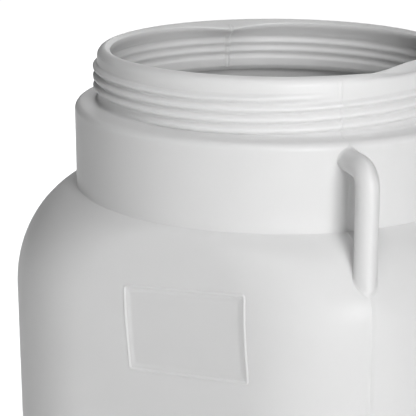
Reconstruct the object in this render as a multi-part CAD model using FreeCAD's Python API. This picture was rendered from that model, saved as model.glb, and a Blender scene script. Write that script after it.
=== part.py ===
import math
import os

import FreeCAD
import Part
from FreeCAD import Vector

# Levels, measured up from the floor
rim_top = 370.0
neck_height = 32.0
collar_height = 49.0
shoulder_height = 57.0

# Parting line of the two mould halves, as an angle round the axis
parting_azimuth = -45.0

# Plan sizes of the body, the collar and the neck
body_half_width = 136.0
body_corner_radius = 80.0
collar_radius = 120.0
neck_radius = 106.4
wall = 2.4
neck_wall = 4.2

# Shoulder curve: an arc that leaves the body wall upright and meets the collar at this angle
shoulder_arc_angle = 68.0
shoulder_wall_share = 0.85
shoulder_bands = 6
inner_shoulder_bands = 3
circle_split_angle = 6.0

# Ledge between the collar and the neck
ledge_edge_radius = 4.0
ledge_edge_bands = 2
ledge_rise = 1.0
ledge_inner_rise = 0.4

# Rolled lip of the mouth
lip_outer_radius = 5.2
lip_bands = 2
mouth_radius = 98.5
lip_thickness = 3.6
lip_slope = 1.4
lip_undercut = 2.4

# Screw thread round the outside of the neck. Most of its lead falls near the front parting line:
# the jog lowers the ridge on one side of that line and raises it on the other.
thread_jog = 1.5
thread_jog_angle = 40.0
thread_pitch = 5.7
thread_height = 2.8
thread_root_half = 2.2
thread_crest_half = 0.6
thread_turns = 3.2
thread_top_below_rim = 9.2
thread_step_angle = 12.0
thread_fade_angle = 45.0
thread_end_share = 0.3
thread_bite = 1.2

# Thickened web of the lip at the rear parting line
web_chord = 92.5
web_drop = 3.4
web_thickness = 3.2
web_overlap = 1.0
web_face_step = 0.1

# Loop handles on the two corners where the mould halves meet
handle_bar_radius = 6.4
handle_bar_sides = 12
handle_bend_steps = 4
handle_arm_below_ledge = 8.0
handle_reach = 146.5
handle_bend_radius = 14.0
handle_foot_below_crease = 46.0
handle_root_depth = 8.0

# Framed panel on the front face
panel_width = 74.0
panel_height = 50.0
panel_centre_x = 15.0
panel_centre_below_ledge = 103.0
panel_turn = 4.0
panel_border = 1.3
panel_border_raise = 0.5
panel_border_root = 1.0
panel_depth = 1.1

# Foot of the body
foot_edge_radius = 18.0
foot_bands = 2
push_up_half_width = 96.0
push_up_corner_radius = 50.0
push_up_height = 6.0

# Levels and reaches that follow from the sizes above
ledge_level = rim_top - neck_height
crease_level = ledge_level - collar_height
wall_top_level = crease_level - shoulder_height
corner_reach = math.sqrt(2.0) * (body_half_width - body_corner_radius) + body_corner_radius
thread_top_level = rim_top - thread_top_below_rim
handle_azimuths = (parting_azimuth, parting_azimuth + 180.0)
lip_land = rim_top - lip_slope

# How far a cutting shape runs past the face that it cuts
cut_margin = 1.0


def polar(radius, degrees, z):
    angle = math.radians(degrees)
    return Vector(radius * math.cos(angle), radius * math.sin(angle), z)


def turned_about_axis(shape, degrees):
    shape.rotate(Vector(0, 0, 0), Vector(0, 0, 1), degrees)
    return shape


def arc_points(centre_x, centre_z, radius, start, end, steps):
    points = []
    for index in range(steps + 1):
        angle = math.radians(start + (end - start) * index / steps)
        points.append((centre_x + radius * math.cos(angle), centre_z + radius * math.sin(angle)))
    return points


# Square outline with round corners, as four flats and four arcs
def rounded_square(half, radius, z):
    flat = half - radius
    edges = []
    for quarter in range(4):
        turn = FreeCAD.Rotation(Vector(0, 0, 1), 90.0 * quarter)
        side_start = turn.multVec(Vector(half, -flat, z))
        side_end = turn.multVec(Vector(half, flat, z))
        centre = turn.multVec(Vector(flat, flat, z))
        middle = centre + polar(radius, 90.0 * quarter + 45.0, 0.0)
        end = centre + polar(radius, 90.0 * quarter + 90.0, 0.0)
        edges.append(Part.makeLine(side_start, side_end))
        edges.append(Part.Arc(side_end, middle, end).toShape())
    return Part.Wire(edges)


# Full circle split into eight arcs that pair up with the rounded square's edges
def split_circle(radius, z):
    edges = []
    for quarter in range(4):
        base = 90.0 * quarter
        stops = (base - circle_split_angle, base + circle_split_angle, base + 90.0 - circle_split_angle)
        for start, end in zip(stops[:-1], stops[1:]):
            middle = (start + end) / 2.0
            arc = Part.Arc(polar(radius, start, z), polar(radius, middle, z), polar(radius, end, z))
            edges.append(arc.toShape())
    return Part.Wire(edges)


# Body from the foot to the collar, drawn inwards by the inset for the hollow
def body_block(inset, floor_level, foot_steps, shoulder_steps):
    wires = []
    edge = foot_edge_radius - inset
    for index in range(foot_steps + 1):
        angle = math.radians(90.0 * index / foot_steps)
        tuck = inset + edge * (1.0 - math.sin(angle))
        level = floor_level + edge * (1.0 - math.cos(angle))
        wires.append(rounded_square(body_half_width - tuck, body_corner_radius - tuck, level))
    drop = inset * shoulder_wall_share
    arc_height = shoulder_height / math.sin(math.radians(shoulder_arc_angle))
    closing = math.cos(math.radians(shoulder_arc_angle))
    for index in range(shoulder_steps):
        angle = math.radians(shoulder_arc_angle * index / shoulder_steps)
        rise = arc_height * math.sin(angle)
        share = (math.cos(angle) - closing) / (1.0 - closing)
        half = collar_radius + (body_half_width - collar_radius) * share
        reach = collar_radius + (corner_reach - collar_radius) * share
        radius = (math.sqrt(2.0) * half - reach) / (math.sqrt(2.0) - 1.0)
        level = wall_top_level + rise - drop * rise / shoulder_height
        wires.append(rounded_square(half - inset, radius - inset, level))
    wires.append(split_circle(collar_radius - inset, crease_level - drop))
    return Part.makeLoft(wires, True, True)


def revolved(profile):
    points = [Vector(x, 0, z) for x, z in profile]
    face = Part.Face(Part.makePolygon(points + points[:1]))
    return face.revolve(Vector(0, 0, 0), Vector(0, 0, 1), 360)


# Collar, ledge, neck and the outside of the lip
def neck_outside():
    profile = [(0.0, crease_level), (collar_radius, crease_level)]
    profile += arc_points(collar_radius - ledge_edge_radius, ledge_level - ledge_edge_radius,
                          ledge_edge_radius, 0.0, 90.0, ledge_edge_bands)
    profile += [(neck_radius, ledge_level + ledge_rise)]
    profile += arc_points(neck_radius - lip_outer_radius, rim_top - lip_outer_radius,
                          lip_outer_radius, 0.0, 90.0, lip_bands)
    profile += [(0.0, rim_top)]
    return revolved(profile)


# Air inside the collar, the neck and the mouth
def neck_inside():
    inner_collar = collar_radius - wall
    inner_neck = neck_radius - neck_wall
    base = crease_level - wall * shoulder_wall_share
    ledge_under = ledge_level - wall
    lip_under = lip_land - lip_thickness
    lip_edge = neck_radius - lip_outer_radius
    profile = [
        (0.0, base),
        (inner_collar, base),
        (inner_collar, ledge_under),
        (inner_neck, ledge_level + ledge_inner_rise),
        (inner_neck, lip_under - lip_undercut),
        (mouth_radius, lip_under),
        (mouth_radius, lip_land),
        (lip_edge, rim_top),
        (lip_edge, rim_top + cut_margin),
        (0.0, rim_top + cut_margin),
    ]
    return revolved(profile)


# Rise of the ridge beside the front parting line, for an angle measured from that line
def thread_shift(degrees):
    from_line = (degrees + 180.0) % 360.0 - 180.0
    share = from_line / thread_jog_angle
    return thread_jog * share * math.exp((1.0 - share * share) / 2.0)


# Right-hand helical ridge on the neck, lower at both ends
def thread_ridge():
    steps = int(round(thread_turns * 360.0 / thread_step_angle))
    section = [
        (-thread_bite, -thread_root_half),
        (0.0, -thread_root_half),
        (thread_height, -thread_crest_half),
        (thread_height, thread_crest_half),
        (0.0, thread_root_half),
        (-thread_bite, thread_root_half),
    ]
    wires = []
    for index in range(steps + 1):
        back = index * thread_step_angle
        to_end = min(back, steps * thread_step_angle - back)
        share = min(1.0, thread_end_share + (1.0 - thread_end_share) * to_end / thread_fade_angle)
        level = thread_top_level - thread_pitch * back / 360.0 + thread_shift(-back)
        points = []
        for out, up in section:
            lift = out * share if out > 0.0 else out
            points.append(polar(neck_radius + lift, parting_azimuth - back, level + up))
        wires.append(Part.makePolygon(points + points[:1]))
    return Part.makeLoft(wires, True, True)


# Ring of a handle bar whose run leans down from the horizontal by the given angle
def bar_ring(reach, level, lean):
    points = []
    for index in range(handle_bar_sides):
        angle = 2.0 * math.pi * (index + 0.5) / handle_bar_sides
        across = handle_bar_radius * math.cos(angle)
        out = handle_bar_radius * math.sin(angle)
        points.append(Vector(reach + out * math.sin(lean), across, level + out * math.cos(lean)))
    return Part.makePolygon(points + points[:1])


# One loop handle: an arm out of the collar, a bend and a bar down into the shoulder
def handle(azimuth):
    arm_level = ledge_level - handle_arm_below_ledge
    bend_reach = handle_reach - handle_bend_radius
    bend_level = arm_level - handle_bend_radius
    rings = [bar_ring(collar_radius - handle_root_depth, arm_level, 0.0)]
    for index in range(handle_bend_steps + 1):
        lean = math.pi / 2.0 * index / handle_bend_steps
        reach = bend_reach + handle_bend_radius * math.sin(lean)
        level = bend_level + handle_bend_radius * math.cos(lean)
        rings.append(bar_ring(reach, level, lean))
    rings.append(bar_ring(handle_reach, crease_level - handle_foot_below_crease, math.pi / 2.0))
    return turned_about_axis(Part.makeLoft(rings, True, True), azimuth)


# Upright slab on the front face, turned with the panel
def panel_slab(width, height, outside, inside):
    slab = Part.makeBox(width, outside + inside, height,
                        Vector(-width / 2.0, -outside, -height / 2.0))
    slab.rotate(Vector(0, 0, 0), Vector(0, -1, 0), panel_turn)
    slab.translate(Vector(panel_centre_x, -body_half_width, ledge_level - panel_centre_below_ledge))
    return slab


# Web of the lip, cut to a straight chord across the mouth
def lip_web():
    land_edge = mouth_radius + web_overlap
    profile = [
        (land_edge, lip_land - web_face_step),
        (web_chord, lip_land - web_drop),
        (web_chord, lip_land - web_drop - web_thickness),
        (land_edge, lip_land - lip_thickness),
    ]
    ring = revolved(profile)
    side = Part.makeBox(collar_radius - web_chord, 2.0 * collar_radius, neck_height,
                        Vector(web_chord, -collar_radius, ledge_level))
    return turned_about_axis(ring.common(side), parting_azimuth + 180.0)


# Raised middle of the base with a side that leans inwards, grown by a wall thickness for the hollow
def push_up(growth, bottom):
    half = push_up_half_width + growth
    radius = push_up_corner_radius + growth
    wires = [
        rounded_square(half, radius, bottom),
        rounded_square(half - push_up_height, radius - push_up_height, push_up_height + growth),
    ]
    return Part.makeLoft(wires, True, True)


# Outside
outside = body_block(0.0, 0.0, foot_bands, shoulder_bands).fuse(neck_outside())
outside = outside.fuse(thread_ridge())
for azimuth in handle_azimuths:
    outside = outside.fuse(handle(azimuth))
frame_slab = panel_slab(panel_width, panel_height, panel_border_raise, panel_border_root)
field_width = panel_width - 2.0 * panel_border
field_height = panel_height - 2.0 * panel_border
field_slab = panel_slab(field_width, field_height, panel_border_raise + cut_margin, panel_depth)
outside = outside.fuse(frame_slab).cut(field_slab)
outside = outside.cut(push_up(0.0, -cut_margin))

# Hollow
hollow = body_block(wall, wall, foot_bands, inner_shoulder_bands).fuse(neck_inside())
backing_width = panel_width + 2.0 * wall
backing_height = panel_height + 2.0 * wall
hollow = hollow.cut(panel_slab(backing_width, backing_height, 0.0, wall + panel_depth))
hollow = hollow.cut(push_up(wall, 0.0))

barrel = outside.cut(hollow).fuse(lip_web())

os.makedirs("parts", exist_ok=True)
barrel.exportStep("parts/barrel.step")
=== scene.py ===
import math

import bpy
from mathutils import Matrix, Vector


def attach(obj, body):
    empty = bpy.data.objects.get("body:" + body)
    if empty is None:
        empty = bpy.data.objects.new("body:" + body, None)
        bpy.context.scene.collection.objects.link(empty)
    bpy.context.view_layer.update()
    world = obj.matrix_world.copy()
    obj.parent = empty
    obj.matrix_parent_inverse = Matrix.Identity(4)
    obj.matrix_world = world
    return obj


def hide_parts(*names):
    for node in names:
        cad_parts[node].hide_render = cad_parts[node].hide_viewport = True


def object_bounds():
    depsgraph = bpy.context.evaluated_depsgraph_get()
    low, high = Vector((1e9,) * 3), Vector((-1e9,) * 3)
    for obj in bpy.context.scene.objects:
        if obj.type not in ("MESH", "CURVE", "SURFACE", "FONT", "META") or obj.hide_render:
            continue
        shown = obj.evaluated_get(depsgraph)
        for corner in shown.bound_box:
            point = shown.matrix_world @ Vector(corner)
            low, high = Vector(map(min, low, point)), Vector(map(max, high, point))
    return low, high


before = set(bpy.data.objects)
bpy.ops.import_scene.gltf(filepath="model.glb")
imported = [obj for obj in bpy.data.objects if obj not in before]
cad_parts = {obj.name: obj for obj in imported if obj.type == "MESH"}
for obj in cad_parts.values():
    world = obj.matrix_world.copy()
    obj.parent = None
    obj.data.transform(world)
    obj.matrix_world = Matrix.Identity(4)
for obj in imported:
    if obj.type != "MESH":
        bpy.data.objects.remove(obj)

cad_low, cad_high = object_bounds()

# Blown wall: the foot, body, shoulder, collar, neck and lip are one skin of natural polyethylene,
# blown out of a hot tube into a two-part mould. Here its half section is drawn and spun, and the
# rings below the collar are then drawn out to the square body.
bpy.ops.object.select_all(action="DESELECT")
rim_top = cad_high.z
body_half = cad_high.x
body_corner = 0.0825
wall = 0.0024
collar_radius = 0.120
neck_radius = 0.1064
neck_wall = 0.0042
ledge_level = rim_top - 0.032
crease_level = ledge_level - 0.049
wall_top_level = crease_level - 0.057
shoulder_close = math.radians(68.0)
shoulder_radius = (crease_level - wall_top_level) / math.sin(shoulder_close)
shoulder_fullness = 0.82
shoulder_draw = 0.85
corner_reach = math.sqrt(2.0) * (body_half - body_corner) + body_corner


# Points of an arc in the half section, with the start left out
def arc(centre_x, centre_z, radius, start, end, steps):
    points = []
    for index in range(1, steps + 1):
        angle = math.radians(start + (end - start) * index / steps)
        points.append((centre_x + radius * math.cos(angle), centre_z + radius * math.sin(angle)))
    return points


# Points of a straight line in the half section, with the start left out
def line(start, end, steps):
    points = []
    for index in range(1, steps + 1):
        share = index / steps
        points.append((start[0] + (end[0] - start[0]) * share, start[1] + (end[1] - start[1]) * share))
    return points


# Corner radius of the body's outline for a half width on the shoulder
def shoulder_corner(half):
    share = (half - collar_radius) / (body_half - collar_radius)
    reach = collar_radius + (corner_reach - collar_radius) * share
    return (math.sqrt(2.0) * half - reach) / (math.sqrt(2.0) - 1.0)


# Half width and level on the shoulder for an angle of its arc, drawn in by an inset
def shoulder_point(angle, inset):
    close = math.cos(shoulder_close)
    share = max(0.0, (math.cos(angle) - close) / (1.0 - close)) ** shoulder_fullness
    half = collar_radius + (body_half - collar_radius) * share
    level = wall_top_level + (shoulder_radius - shoulder_draw * inset) * math.sin(angle)
    return half - inset, level


foot_radius = 0.018
push_up_half = 0.096
push_up_height = 0.006
push_up_side = 0.010
push_up_round = 0.003
push_up_rim = 0.0015
push_up_foot = 0.0006
base_corner_share = 0.52
smallest_corner = 0.001
shoulder_steps = 26
inner_steps = 12
lip_radius = 0.0052
lip_start = 0.0020
lip_slope = 0.0014
lip_land = 0.0012
lip_hollow = 0.0085
mouth_radius = 0.0985
mouth_edge = 0.0008
crease_fillet = 0.0006
crease_start = shoulder_close * 0.985
ledge_rise = 0.0008
ledge_fillet = 0.004
neck_fillet = 0.002
inner_ledge_start = 0.0012
inner_ledge_slant = 0.0015
inner_ledge_fillet = 0.0030
touch = 0.0001
weld = 0.00002

# Section of the outside, from the middle of the base up to the top of the lip
outside = [(0.0, push_up_height)]
outside += line(outside[-1], (push_up_half - push_up_side, push_up_height), 4)
outside += arc(push_up_half - push_up_side, push_up_height - push_up_round, push_up_round, 90.0, 30.0, 4)
outside += line(outside[-1], (push_up_half - push_up_rim, push_up_foot), 2)
outside += arc(push_up_half, push_up_rim, push_up_rim, 215.0, 270.0, 3)
outside += line(outside[-1], (body_half - foot_radius, 0.0), 2)
outside += arc(body_half - foot_radius, foot_radius, foot_radius, -90.0, 0.0, 10)
outside += line(outside[-1], (body_half, wall_top_level), 8)
for step in range(1, shoulder_steps + 1):
    outside.append(shoulder_point(crease_start * step / shoulder_steps, 0.0))
outside += arc(collar_radius + crease_fillet, crease_level + crease_fillet, crease_fillet, 236.0, 180.0, 3)
outside += line(outside[-1], (collar_radius, ledge_level - ledge_fillet), 8)
outside += arc(collar_radius - ledge_fillet, ledge_level - ledge_fillet, ledge_fillet, 0.0, 84.0, 7)
neck_foot = ledge_level + ledge_rise
outside += line(outside[-1], (neck_radius + neck_fillet, neck_foot), 3)
outside += arc(neck_radius + neck_fillet, neck_foot + neck_fillet, neck_fillet, 270.0, 180.0, 5)
outside += line(outside[-1], (neck_radius, rim_top - lip_radius - lip_start), 50)
outside += arc(neck_radius - lip_radius, rim_top - lip_radius, lip_radius, 0.0, 90.0, 12)

# Section of the inside, from the top of the lip down to the middle of the floor
inner_neck = neck_radius - neck_wall
inside = line(outside[-1], (mouth_radius + mouth_edge, rim_top - lip_slope), 6)
inside += arc(mouth_radius + mouth_edge, rim_top - lip_slope - mouth_edge, mouth_edge, 90.0, 180.0, 3)
inside += line(inside[-1], (mouth_radius, rim_top - lip_slope - lip_land), 1)
hollow_top = inside[-1][1]
for step in range(1, inner_steps + 1):
    share = step / inner_steps
    inside.append((mouth_radius + (inner_neck - mouth_radius) * (1.0 - math.cos(math.pi * share)) / 2.0,
                   hollow_top - lip_hollow * share))
inside += line(inside[-1], (inner_neck, ledge_level + inner_ledge_start), 44)
inside += line(inside[-1], (inner_neck + inner_ledge_slant, ledge_level - wall + ledge_rise), 2)
inner_turn = collar_radius - wall - inner_ledge_fillet
inside += line(inside[-1], (inner_turn, ledge_level - wall), 2)
inside += arc(inner_turn, ledge_level - wall - inner_ledge_fillet, inner_ledge_fillet, 90.0, 0.0, 4)
inside += line(inside[-1], (collar_radius - wall, crease_level - shoulder_draw * wall), 4)
for step in range(1, inner_steps + 1):
    inside.append(shoulder_point(shoulder_close * (1.0 - step / inner_steps), wall))
inner_half = body_half - wall
inner_foot = foot_radius - wall
inside += line(inside[-1], (inner_half, foot_radius), 4)
inside += arc(inner_half - inner_foot, foot_radius, inner_foot, 0.0, -90.0, 7)
inside += line(inside[-1], (push_up_half + wall, wall), 1)
inside += line(inside[-1], (push_up_half - push_up_height + wall, push_up_height + wall), 3)
inside += line(inside[-1], (0.0, push_up_height + wall), 4)

section = outside + inside
columns = 360

bpy.ops.mesh.primitive_plane_add(size=0.001, location=(0.0, 0.0, push_up_height))
barrel = bpy.context.object
barrel.name = "blown_barrel"
bpy.ops.object.transform_apply(location=True, rotation=True, scale=True)
bpy.ops.object.mode_set(mode="EDIT")
bpy.ops.mesh.merge(type="CENTER")
for before, after in zip(section[:-1], section[1:]):
    step = (after[0] - before[0], 0.0, after[1] - before[1])
    bpy.ops.mesh.extrude_region_move(TRANSFORM_OT_translate={"value": step})
bpy.ops.object.mode_set(mode="OBJECT")


# Corner radius of the square outline that a point of the section is drawn out to
def outline_corner(index):
    half, level = section[index]
    on_outside = index < len(outside)
    if not on_outside:
        half += wall
    if level > crease_level - (0.0 if on_outside else shoulder_draw * wall) - touch:
        corner = half
    elif level > wall_top_level:
        corner = shoulder_corner(half)
    elif half > push_up_half + touch:
        corner = body_corner - (body_half - half)
    else:
        corner = half * base_corner_share
    return corner if on_outside else corner - wall


corner_layer = barrel.data.attributes.new("corner", "FLOAT", "POINT")
for index in range(len(section)):
    corner_layer.data[index].value = outline_corner(index)
side_layer = barrel.data.attributes.new("side", "FLOAT", "POINT")
for index in range(len(section)):
    side_layer.data[index].value = 1.0 if index < len(outside) else 0.0

bpy.ops.object.mode_set(mode="EDIT")
bpy.ops.mesh.select_all(action="SELECT")
bpy.ops.mesh.spin(steps=columns // 4, angle=math.pi / 2.0, center=(0.0, 0.0, 0.0), axis=(0.0, 0.0, 1.0))
for turn in (math.pi / 2.0, math.pi):
    bpy.ops.mesh.select_all(action="SELECT")
    bpy.ops.mesh.duplicate()
    bpy.ops.transform.rotate(value=turn, orient_axis="Z", center_override=(0.0, 0.0, 0.0))
bpy.ops.mesh.select_all(action="SELECT")
bpy.ops.mesh.remove_doubles(threshold=weld)
bpy.ops.mesh.normals_make_consistent(inside=False)
bpy.ops.object.mode_set(mode="OBJECT")


# Distance from the axis to a square outline with round corners, in one direction
def square_reach(half, corner, azimuth):
    turn = (azimuth + math.pi / 4.0) % (math.pi / 2.0) - math.pi / 4.0
    flat = half - corner
    if abs(math.tan(turn)) * half <= flat:
        return half / math.cos(turn)
    off = math.pi / 4.0 - abs(turn)
    centre = math.sqrt(2.0) * flat
    return centre * math.cos(off) + math.sqrt(max(0.0, corner ** 2 - (centre * math.sin(off)) ** 2))


parting_azimuth = math.radians(-45.0)


# Angle from the nearer of the two parting lines
def from_parting(azimuth):
    return (azimuth - parting_azimuth + math.pi / 2.0) % math.pi - math.pi / 2.0


swelling_height = 0.0034
swelling_level = wall_top_level + 0.029
swelling_half_width = 0.017
swelling_above = 0.010
swelling_below = 0.017


# Soft swelling of the shoulder under each handle, where the bar runs into the wall
def swelling(azimuth, reach, level):
    aside = reach * math.sin(from_parting(azimuth)) / swelling_half_width
    tall = swelling_above if level > swelling_level else swelling_below
    height = (level - swelling_level) / tall
    return swelling_height * math.exp(-aside * aside - height * height)


# The columns beside each parting line are drawn together, in degrees, so that its rib comes out fine
seam_steps = (0.0, 0.22, 1.0, 2.2)
seam_columns = {}
for vertex in barrel.data.vertices:
    radius = math.hypot(vertex.co.x, vertex.co.y)
    azimuth = math.atan2(vertex.co.y, vertex.co.x)
    off = math.degrees(from_parting(azimuth))
    column = round(abs(off))
    if radius > touch and column < len(seam_steps):
        turned = azimuth - math.radians(off) + math.radians(math.copysign(seam_steps[column], off))
        vertex.co.x = radius * math.cos(turned)
        vertex.co.y = radius * math.sin(turned)
        if column < 2:
            seam_columns[vertex.index] = column

# The rings below the collar are drawn out to the square
corners = [0.0] * len(barrel.data.vertices)
barrel.data.attributes["corner"].data.foreach_get("value", corners)
for vertex, corner in zip(barrel.data.vertices, corners):
    half = math.hypot(vertex.co.x, vertex.co.y)
    if half > touch and corner < half - touch:
        azimuth = math.atan2(vertex.co.y, vertex.co.x)
        reach = square_reach(half, max(corner, smallest_corner), azimuth)
        reach += swelling(azimuth, reach, vertex.co.z)
        vertex.co.x = reach * math.cos(azimuth)
        vertex.co.y = reach * math.sin(azimuth)

# Screw thread: a right-hand ridge of a little over three turns that takes the lid. The mould forms
# it in the wall itself, so the inside of the neck shows the same turns as shallow grooves.
thread_pitch = 0.0057
thread_height = 0.0026
thread_turns = 3.2
thread_top = rim_top - 0.0092
thread_crest_half = 0.0004
thread_root_half = 0.0026
thread_fade = math.radians(24.0)
groove_share = 0.5
thread_jog = 0.0015
thread_jog_angle = math.radians(40.0)


# Rise of the ridge beside the front parting line, where most of its lead falls
def thread_shift(from_line):
    share = ((from_line + math.pi) % (2.0 * math.pi) - math.pi) / thread_jog_angle
    return thread_jog * share * math.exp((1.0 - share * share) / 2.0)


# Height of the ridge at a direction and level, with rounded flanks
def thread_lift(azimuth, level):
    lift = 0.0
    full = thread_turns * 2.0 * math.pi
    first = (parting_azimuth - azimuth) % (2.0 * math.pi)
    for turn in range(math.ceil(thread_turns)):
        back = first + turn * 2.0 * math.pi
        if back > full:
            continue
        off = abs(level - thread_top + thread_pitch * back / (2.0 * math.pi) - thread_shift(-back))
        share = min(1.0, max(0.0, (thread_root_half - off) / (thread_root_half - thread_crest_half)))
        fade = min(1.0, back / thread_fade, (full - back) / thread_fade)
        lift = max(lift, thread_height * fade * (1.0 - math.cos(math.pi * share)) / 2.0)
    return lift


for vertex in barrel.data.vertices:
    radius = math.hypot(vertex.co.x, vertex.co.y)
    in_bore = abs(radius - inner_neck) < touch
    if (in_bore or abs(radius - neck_radius) < touch) and vertex.co.z > ledge_level:
        lift = thread_lift(math.atan2(vertex.co.y, vertex.co.x), vertex.co.z)
        if in_bore:
            lift *= groove_share
        vertex.co.x *= (radius + lift) / radius
        vertex.co.y *= (radius + lift) / radius

# Lip: the mouth is trimmed after blowing, so its edge is thin and of uneven width. At the right a
# broad strip is left that slopes up inwards, and at the rear parting line the wall bulges in under a
# web that dips. The front parting line keeps a small nick. All angles are in degrees from it.
web_width = 0.006
web_drop = 0.0026
web_spread = 12.0
web_power = 1.5
bulge_depth = 0.010
flange_width = 0.0080
flange_start = (2.0, 36.0)
flange_end = (54.0, 84.0)
nick_depth = 0.0010
nick_spread = 0.9
lip_crest = neck_radius - lip_radius
sides = [0.0] * len(barrel.data.vertices)
barrel.data.attributes["side"].data.foreach_get("value", sides)


# Share of a smooth step between two values
def smooth_step(value, start, end):
    share = min(1.0, max(0.0, (value - start) / (end - start)))
    return share * share * (3.0 - 2.0 * share)


for vertex, side in zip(barrel.data.vertices, sides):
    radius = math.hypot(vertex.co.x, vertex.co.y)
    level = vertex.co.z
    on_top = side > 0.5 and level > rim_top - lip_radius or side < 0.5 and level > hollow_top - touch
    under = side < 0.5 and ledge_level < level and not on_top
    if not (on_top or under):
        continue
    azimuth = math.atan2(vertex.co.y, vertex.co.x)
    from_front = math.degrees((azimuth - parting_azimuth + math.pi) % (2.0 * math.pi) - math.pi)
    web = math.exp(-(abs(abs(from_front) - 180.0) / web_spread) ** web_power)
    flange = smooth_step(from_front, *flange_start) - smooth_step(from_front, *flange_end)
    nick = nick_depth * math.exp(-(from_front / nick_spread) ** 2)
    if on_top:
        share = min(1.0, max(0.0, (lip_crest - radius) / (lip_crest - mouth_radius)))
        pull = share * (web_width * web + flange_width * flange - nick)
        across = (neck_radius - radius + pull) / (neck_radius - mouth_radius + flange_width * flange)
        sloped = rim_top - lip_radius * (1.0 - (across + math.sin(math.pi / 2.0 * across)) / 2.0)
        if level > hollow_top + touch:
            level += (min(sloped, rim_top) - level) * flange
        else:
            level += lip_slope * flange
        level = min(level, rim_top) - share * (web_drop * web + nick)
    else:
        depth = hollow_top - level
        near = smooth_step(lip_hollow - depth, 0.0, lip_hollow)
        level += near * (lip_slope * flange - web_drop * web)
        pull = web_width * web * math.exp(-depth / bulge_depth) + flange_width * flange * near
    vertex.co.x *= (radius - pull) / radius
    vertex.co.y *= (radius - pull) / radius
    vertex.co.z = level

# Parting line: a hair of plastic that stands where the two mould halves met, all the way up the
# outside on two corners, and a low rib inside the neck.
outer_rib = 0.00028
inner_rib = 0.0010
rib_end = rim_top - 0.0025
raised = {}
for index, column in seam_columns.items():
    vertex = barrel.data.vertices[index]
    if column == 0 and sides[index] > 0.5 and foot_radius < vertex.co.z < rib_end:
        raised[index] = vertex.co + vertex.normal * outer_rib
    elif sides[index] < 0.5 and ledge_level < vertex.co.z < hollow_top:
        raised[index] = vertex.co + vertex.normal * inner_rib
for index, place in raised.items():
    barrel.data.vertices[index].co = place
for layer in ("corner", "side"):
    barrel.data.attributes.remove(barrel.data.attributes[layer])

# Panel: a field on the front face, sunk a little by the mould with soft sides, and a fine
# half-round bead along its edge. Both are laid along the face, which leans in above the wall's top.
panel_width = 0.0730
panel_height = 0.0475
panel_place = (0.0141, -body_half, ledge_level - 0.1025)
panel_turn = math.radians(4.7)
panel_depth = 0.0005
panel_slope = 0.0030
slope_steps = 8
field_front = 0.0010
field_edge = 0.0001
field_land = 0.0010
strip_height = 0.003
strips = 9
bead_radius = 0.0011
bead_raise = 0.0005
bead_corner = 0.0016


# Distance from the axis to the front face, at a place across it and a level
def front_wall(across, level):
    half, corner = body_half, body_corner
    if level > wall_top_level:
        half = shoulder_point(math.asin((level - wall_top_level) / shoulder_radius), 0.0)[0]
        corner = shoulder_corner(half)
    past = max(0.0, abs(across) - (half - corner))
    return half - corner + math.sqrt(corner * corner - past * past)


# Starts an upright plate with the panel's outline, drawn in by a margin and open for editing
def panel_plate(place_y, margin):
    bpy.ops.object.select_all(action="DESELECT")
    bpy.ops.mesh.primitive_plane_add(size=1.0, location=(0.0, place_y, 0.0),
                                     rotation=(-math.pi / 2.0, 0.0, 0.0))
    plate = bpy.context.object
    plate.scale = (panel_width - 2.0 * margin, panel_height - 2.0 * margin, 1.0)
    bpy.ops.object.transform_apply(location=True, rotation=True, scale=True)
    bpy.ops.object.mode_set(mode="EDIT")
    bpy.ops.mesh.select_all(action="SELECT")
    return plate


# Joins a closed form to the barrel, or cuts it out
def combine(block, operation):
    bpy.ops.object.select_all(action="DESELECT")
    barrel.select_set(True)
    bpy.context.view_layer.objects.active = barrel
    tool = barrel.modifiers.new("tool", "BOOLEAN")
    tool.operation = operation
    tool.solver = "EXACT"
    tool.object = block
    bpy.ops.object.modifier_apply(modifier="tool")
    bpy.data.objects.remove(block)


# Turns a form of the panel, moves it to its place and lays it along the face
def lay_on_wall(block):
    block.data.transform(Matrix.Rotation(-panel_turn, 4, "Y"))
    block.data.transform(Matrix.Translation(panel_place))
    bpy.ops.object.mode_set(mode="EDIT")
    for cut in range(-strips, strips + 1):
        level = panel_place[2] + strip_height * cut
        bpy.ops.mesh.select_all(action="SELECT")
        bpy.ops.mesh.bisect(plane_co=(0.0, 0.0, level), plane_no=(0.0, 0.0, 1.0))
    bpy.ops.object.mode_set(mode="OBJECT")
    for vertex in block.data.vertices:
        vertex.co.y += body_half - front_wall(vertex.co.x, vertex.co.z)


bead = panel_plate(bead_radius - bead_raise, 0.0)
bpy.ops.mesh.bevel(offset=bead_corner, segments=4, affect="VERTICES")
bpy.ops.mesh.select_all(action="SELECT")
bpy.ops.mesh.delete(type="ONLY_FACE")
bpy.ops.object.mode_set(mode="OBJECT")
bpy.ops.object.convert(target="CURVE")
bead.data.bevel_depth = bead_radius
bead.data.bevel_resolution = 8
bpy.ops.object.convert(target="MESH")
bpy.ops.object.mode_set(mode="EDIT")
bpy.ops.mesh.select_all(action="SELECT")
bpy.ops.mesh.normals_make_consistent(inside=False)
bpy.ops.object.mode_set(mode="OBJECT")
lay_on_wall(bead)
combine(bead, "UNION")

field = panel_plate(-field_front, bead_radius)
bpy.ops.mesh.extrude_region_move(TRANSFORM_OT_translate={"value": (0.0, field_front + field_edge, 0.0)})
for step in range(slope_steps):
    before = (1.0 - math.cos(math.pi * step / slope_steps)) / 2.0
    after = (1.0 - math.cos(math.pi * (step + 1) / slope_steps)) / 2.0
    bpy.ops.mesh.inset(thickness=panel_slope / slope_steps)
    bpy.ops.transform.translate(value=(0.0, panel_depth * (after - before), 0.0))
bpy.ops.mesh.inset(thickness=field_land)
bpy.ops.object.mode_set(mode="OBJECT")
lay_on_wall(field)
combine(field, "DIFFERENCE")

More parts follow.
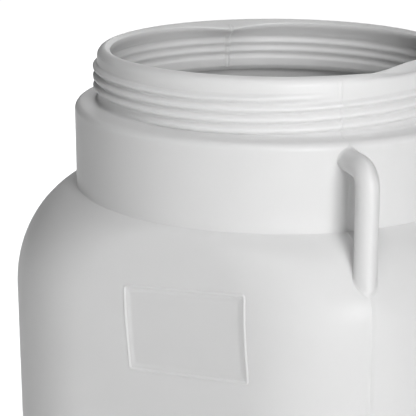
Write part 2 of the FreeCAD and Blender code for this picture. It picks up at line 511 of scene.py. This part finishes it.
# Loop handles: two bars of the same plastic on the corners where the mould halves meet. The mould
# pinches each one to a soft ridge inside and out, and each runs into the collar and the shoulder.
bar_radius = 0.0064
bar_sides = 48
ridge_height = 0.0004
flank_power = 1.2
handle_reach = 0.1465
handle_bend = 0.0105
arm_level = ledge_level - 0.0093
arm_flatness = 0.93
bend_level = arm_level - handle_bend
bend_reach = handle_reach - handle_bend
arm_root = collar_radius - 0.0012
arm_rings = (0.0009, 0.0012, 0.0015, 0.0018, 0.0022, 0.0027, 0.0040, 0.0080, 0.0125, bend_reach - arm_root)
foot_sink = 0.0012
root_fillet = 0.0022
foot_fillet = 0.0020
fillet_sunk = 0.3
bend_rings = 14
bar_rings = 32
bar_length = 0.060
ring_crowding = 1.8
halvings = 24
search_depth = 0.010


# Level of the outside of the shoulder at a distance from the axis, found by halving
def shoulder_level(azimuth, distance):
    low, high = wall_top_level - search_depth, crease_level
    for halving in range(halvings):
        level = (low + high) / 2.0
        angle = math.asin(min(1.0, max(0.0, (level - wall_top_level) / shoulder_radius)))
        half = shoulder_point(angle, 0.0)[0]
        reach = square_reach(half, shoulder_corner(half), azimuth)
        reach += swelling(azimuth, reach, level)
        if reach > distance:
            low = level
        else:
            high = level
    return low


# Growth of the bar close to the wall, as a fillet that starts a little inside the wall
def flare(distance, fillet):
    rest = fillet * (1.0 - fillet_sunk) - max(distance, 0.0)
    if rest <= 0.0:
        return 0.0
    return fillet - math.sqrt(fillet * fillet - rest * rest)


bpy.ops.object.select_all(action="DESELECT")
bpy.ops.mesh.primitive_circle_add(vertices=bar_sides, radius=bar_radius, fill_type="NGON",
                                  location=(arm_root, 0.0, arm_level), rotation=(0.0, math.pi / 2.0, 0.0))
handle = bpy.context.object
handle.name = "handle"
bpy.ops.object.transform_apply(location=True, rotation=True, scale=True)
for vertex in handle.data.vertices:
    across = vertex.co.y / bar_radius
    out = (vertex.co.z - arm_level) / bar_radius
    vertex.co.y = math.copysign(abs(across) ** flank_power, across) * bar_radius
    vertex.co.z = arm_level + math.copysign(abs(out) ** flank_power, out) * (bar_radius + ridge_height)
bpy.ops.object.mode_set(mode="EDIT")
for before, after in zip((0.0,) + arm_rings[:-1], arm_rings):
    bpy.ops.mesh.extrude_region_move(TRANSFORM_OT_translate={"value": (after - before, 0.0, 0.0)})
for ring in range(bend_rings):
    before = math.pi / 2.0 * ring / bend_rings
    after = math.pi / 2.0 * (ring + 1) / bend_rings
    move = (handle_bend * (math.sin(after) - math.sin(before)), 0.0,
            handle_bend * (math.cos(after) - math.cos(before)))
    bpy.ops.mesh.extrude_region_move(TRANSFORM_OT_translate={"value": move})
    centre = (bend_reach + handle_bend * math.sin(after), 0.0, bend_level + handle_bend * math.cos(after))
    bpy.ops.transform.rotate(value=-math.pi / 2.0 / bend_rings, orient_axis="Y", center_override=centre)
for ring in range(bar_rings):
    share = (1.0 - ring / bar_rings) ** ring_crowding - (1.0 - (ring + 1) / bar_rings) ** ring_crowding
    bpy.ops.mesh.extrude_region_move(TRANSFORM_OT_translate={"value": (0.0, 0.0, -bar_length * share)})
bpy.ops.mesh.select_all(action="SELECT")
bpy.ops.mesh.normals_make_consistent(inside=False)
bpy.ops.object.mode_set(mode="OBJECT")

for vertex in handle.data.vertices:
    if vertex.co.z < bend_level - touch:
        share = (bend_level - vertex.co.z) / bar_length
        azimuth = parting_azimuth + math.atan2(vertex.co.y, vertex.co.x)
        surface = shoulder_level(azimuth, math.hypot(vertex.co.x, vertex.co.y))
        level = bend_level + (surface - foot_sink - bend_level) * share
        grown = 1.0 + flare(level - surface, foot_fillet) / bar_radius
        vertex.co.x = handle_reach + (vertex.co.x - handle_reach) * grown
        vertex.co.y *= grown
        vertex.co.z = level
    elif vertex.co.x < bend_reach + touch:
        grown = 1.0 + flare(math.hypot(vertex.co.x, vertex.co.y) - collar_radius, root_fillet) / bar_radius
        flat = 1.0 - (1.0 - arm_flatness) * smooth_step(vertex.co.x, bend_reach, arm_root)
        vertex.co.y *= grown
        vertex.co.z = arm_level + (vertex.co.z - arm_level) * grown * flat

handle.data.transform(Matrix.Rotation(parting_azimuth, 4, "Z"))
other_handle = handle.copy()
other_handle.data = handle.data.copy()
bpy.context.scene.collection.objects.link(other_handle)
other_handle.data.transform(Matrix.Rotation(math.pi, 4, "Z"))
combine(handle, "UNION")
combine(other_handle, "UNION")
bpy.ops.object.shade_smooth_by_angle(angle=math.radians(35.0))

# Natural polyethylene: satin, milky white and a little translucent, with the faint grain that the
# mould's blasted face leaves. The same plastic makes the wall and the handles.
plastic = bpy.data.materials.new("natural_polyethylene")
plastic.use_nodes = True
nodes = plastic.node_tree.nodes
links = plastic.node_tree.links
shader = nodes["Principled BSDF"]
place = nodes.new("ShaderNodeTexCoord")

cloud = nodes.new("ShaderNodeTexNoise")
cloud.inputs["Scale"].default_value = 14.0
cloud.inputs["Detail"].default_value = 3.0
links.new(place.outputs["Object"], cloud.inputs["Vector"])
tint = nodes.new("ShaderNodeValToRGB")
tint.color_ramp.elements[0].position = 0.3
tint.color_ramp.elements[0].color = (0.80, 0.80, 0.80, 1.0)
tint.color_ramp.elements[1].position = 0.7
tint.color_ramp.elements[1].color = (0.83, 0.83, 0.83, 1.0)
links.new(cloud.outputs["Fac"], tint.inputs["Fac"])
links.new(tint.outputs["Color"], shader.inputs["Base Color"])

grain = nodes.new("ShaderNodeTexNoise")
grain.inputs["Scale"].default_value = 900.0
grain.inputs["Detail"].default_value = 2.0
links.new(place.outputs["Object"], grain.inputs["Vector"])
gloss = nodes.new("ShaderNodeMapRange")
gloss.inputs["To Min"].default_value = 0.40
gloss.inputs["To Max"].default_value = 0.50
links.new(grain.outputs["Fac"], gloss.inputs["Value"])
links.new(gloss.outputs["Result"], shader.inputs["Roughness"])
relief = nodes.new("ShaderNodeBump")
relief.inputs["Strength"].default_value = 0.06
relief.inputs["Distance"].default_value = 0.0002
links.new(grain.outputs["Fac"], relief.inputs["Height"])
links.new(relief.outputs["Normal"], shader.inputs["Normal"])
shader.inputs["IOR"].default_value = 1.5
shader.inputs["Subsurface Weight"].default_value = 0.6
shader.inputs["Subsurface Radius"].default_value = (1.0, 1.0, 1.0)
shader.inputs["Subsurface Scale"].default_value = 0.006

barrel.data.materials.clear()
barrel.data.materials.append(plastic)
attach(barrel, "root")
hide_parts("barrel")

# Floor: one wide sheet of pale paper that the barrel stands on. It is white to the camera and plain
# to the light, so it carries the shadow and has no horizon.
floor_drop = 0.0005
bpy.ops.object.select_all(action="DESELECT")
bpy.ops.mesh.primitive_plane_add(size=30.0, location=(0.0, 0.0, -floor_drop))
floor = bpy.context.object
floor.name = "studio_floor"
paper = bpy.data.materials.new("white_paper")
paper.use_nodes = True
paper_nodes = paper.node_tree.nodes
paper_links = paper.node_tree.links
paper_shader = paper_nodes["Principled BSDF"]
paper_shader.inputs["Base Color"].default_value = (0.9, 0.9, 0.9, 1.0)
paper_shader.inputs["Roughness"].default_value = 0.9
paper_ray = paper_nodes.new("ShaderNodeLightPath")
seen_by = paper_nodes.new("ShaderNodeMath")
seen_by.operation = "MAXIMUM"
seen_through = paper_nodes.new("ShaderNodeMath")
seen_through.operation = "MAXIMUM"
paper_links.new(paper_ray.outputs["Is Camera Ray"], seen_by.inputs[0])
paper_links.new(paper_ray.outputs["Is Glossy Ray"], seen_by.inputs[1])
paper_links.new(seen_by.outputs[0], seen_through.inputs[0])
paper_links.new(paper_ray.outputs["Is Transmission Ray"], seen_through.inputs[1])
paper_glow = paper_nodes.new("ShaderNodeMath")
paper_glow.operation = "MULTIPLY"
paper_glow.inputs[1].default_value = 0.96
paper_links.new(seen_through.outputs[0], paper_glow.inputs[0])
paper_shader.inputs["Emission Color"].default_value = (1.0, 1.0, 1.0, 1.0)
paper_links.new(paper_glow.outputs[0], paper_shader.inputs["Emission Strength"])
floor.data.materials.append(paper)

# Light: a soft box low at the front right, a larger one above it, a weak one behind the barrel and
# a dim pale room. Each box is turned to the middle of the barrel's upper half.
lamp_distance = 2.2
lamp_target = Vector((0.0, 0.0, 0.25))


# Hangs a square soft box in a direction from the barrel, in degrees from the front and from the floor
def soft_box(name, azimuth, elevation, size, power):
    across = lamp_distance * math.cos(math.radians(elevation))
    turn = math.radians(azimuth)
    place = lamp_target + Vector((across * math.sin(turn), -across * math.cos(turn),
                                  lamp_distance * math.sin(math.radians(elevation))))
    light = bpy.data.lights.new(name, "AREA")
    light.shape = "SQUARE"
    light.size = size
    light.energy = power
    lamp = bpy.data.objects.new(name, light)
    lamp.location = place
    lamp.rotation_euler = (lamp_target - place).to_track_quat("-Z", "Y").to_euler()
    bpy.context.scene.collection.objects.link(lamp)


soft_box("key_box", 44.0, 15.0, 0.7, 26.5)
soft_box("top_box", 26.0, 60.0, 1.0, 12.5)
soft_box("back_box", 203.0, 25.0, 1.2, 10.0)

world = bpy.data.worlds.new("pale_room")
bpy.context.scene.world = world
world.use_nodes = True
room = world.node_tree.nodes
room["Background"].inputs["Color"].default_value = (1.0, 1.0, 1.0, 1.0)
room["Background"].inputs["Strength"].default_value = 0.06
seen = room.new("ShaderNodeBackground")
seen.inputs["Color"].default_value = (1.0, 1.0, 1.0, 1.0)
seen.inputs["Strength"].default_value = 1.0
ray = room.new("ShaderNodeLightPath")
choose = room.new("ShaderNodeMixShader")
world.node_tree.links.new(ray.outputs["Is Camera Ray"], choose.inputs[0])
world.node_tree.links.new(room["Background"].outputs[0], choose.inputs[1])
world.node_tree.links.new(seen.outputs[0], choose.inputs[2])
world.node_tree.links.new(choose.outputs[0], room["World Output"].inputs["Surface"])

# Camera: a long lens a little above the rim, dipped and turned so that the handle's corner lies right
# of the middle and the picture cuts the body off below.
camera_azimuth = math.radians(26.25)
camera_distance = 0.8459
camera_level = ledge_level + 0.1746
camera_dip = 16.065
camera_pan = 2.763
lens = bpy.data.cameras.new("long_lens")
lens.lens = 124.5
lens.sensor_width = 36.0
camera = bpy.data.objects.new("camera", lens)
camera.location = (camera_distance * math.sin(camera_azimuth), -camera_distance * math.cos(camera_azimuth),
                   camera_level)
camera.rotation_euler = (math.radians(90.0 - camera_dip), 0.0, camera_azimuth + math.radians(camera_pan))
bpy.context.scene.collection.objects.link(camera)
bpy.context.scene.camera = camera
bpy.context.scene.view_settings.view_transform = "Standard"
